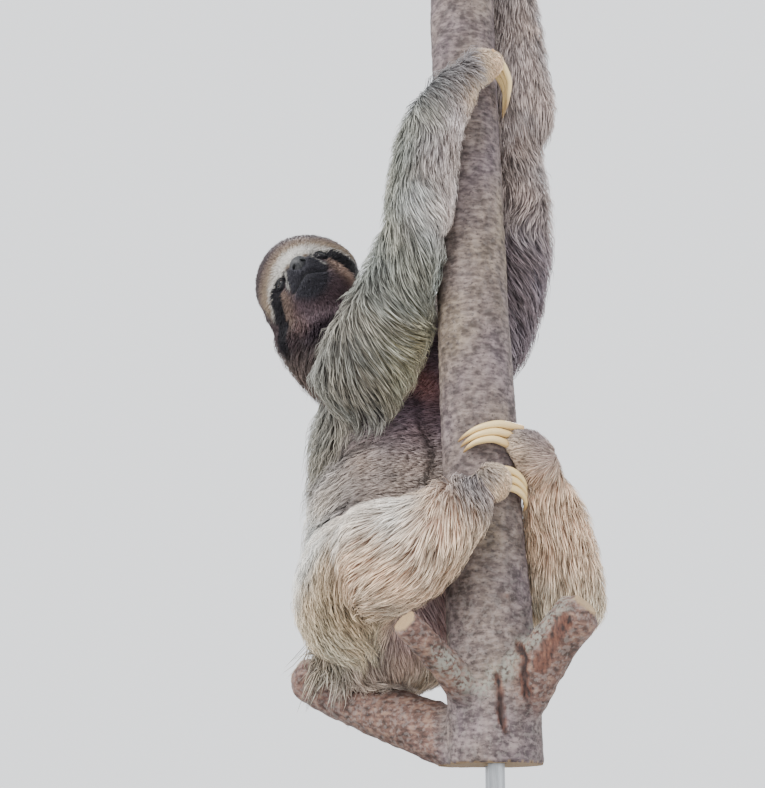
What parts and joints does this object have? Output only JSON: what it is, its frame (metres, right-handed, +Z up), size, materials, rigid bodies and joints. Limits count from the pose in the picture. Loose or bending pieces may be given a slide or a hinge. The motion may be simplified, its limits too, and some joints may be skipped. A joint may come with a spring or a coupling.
{
  "type": "three-toed sloth",
  "caption": "Life-size three-toed sloth clinging to a short cut length of forked trunk, held up on a plain display stand.",
  "frame": {"origin": "middle of the display base's underside", "axes": "+Z up along the trunk, -Y towards the viewer whom the animal faces, +X to that viewer's right, which is the animal's left"},
  "size_m": [0.4, 0.33, 1.1],
  "materials": {
    "coat": "coarse grey-brown hair with pale streaks",
    "face_coat": "short dense hair, a cream band round the face and near-black eye stripes",
    "paw_coat": "short pinkish beige hair",
    "claw": "polished cream-yellow horn",
    "eye": "wet dark brown",
    "bark": "thin grey-brown bark with fine rings",
    "base_wood": "dark oiled hardwood",
    "rod_steel": "satin steel rod"
  },
  "bodies": {
    "root": {"stand_base": "base_wood", "stand_rod_front": "rod_steel", "stand_rod_back": "rod_steel", "perch": "bark", "torso": "coat", "neck": "coat", "tail": "coat", "head": "face_coat", "eye_right": "eye", "eye_left": "eye", "upper_arm_right": "coat", "forearm_right": "coat", "hand_right": "paw_coat", "upper_arm_left": "coat", "forearm_left": "coat", "hand_left": "paw_coat", "thigh_right": "coat", "shank_right": "coat", "foot_right": "paw_coat", "thigh_left": "coat", "shank_left": "coat", "foot_left": "paw_coat", "claw_hand_right_1": "claw", "claw_hand_right_2": "claw", "claw_hand_right_3": "claw", "claw_hand_left_1": "claw", "claw_hand_left_2": "claw", "claw_hand_left_3": "claw", "claw_foot_right_1": "claw", "claw_foot_right_2": "claw", "claw_foot_right_3": "claw", "claw_foot_left_1": "claw", "claw_foot_left_2": "claw", "claw_foot_left_3": "claw"}
  },
  "joints": []
}
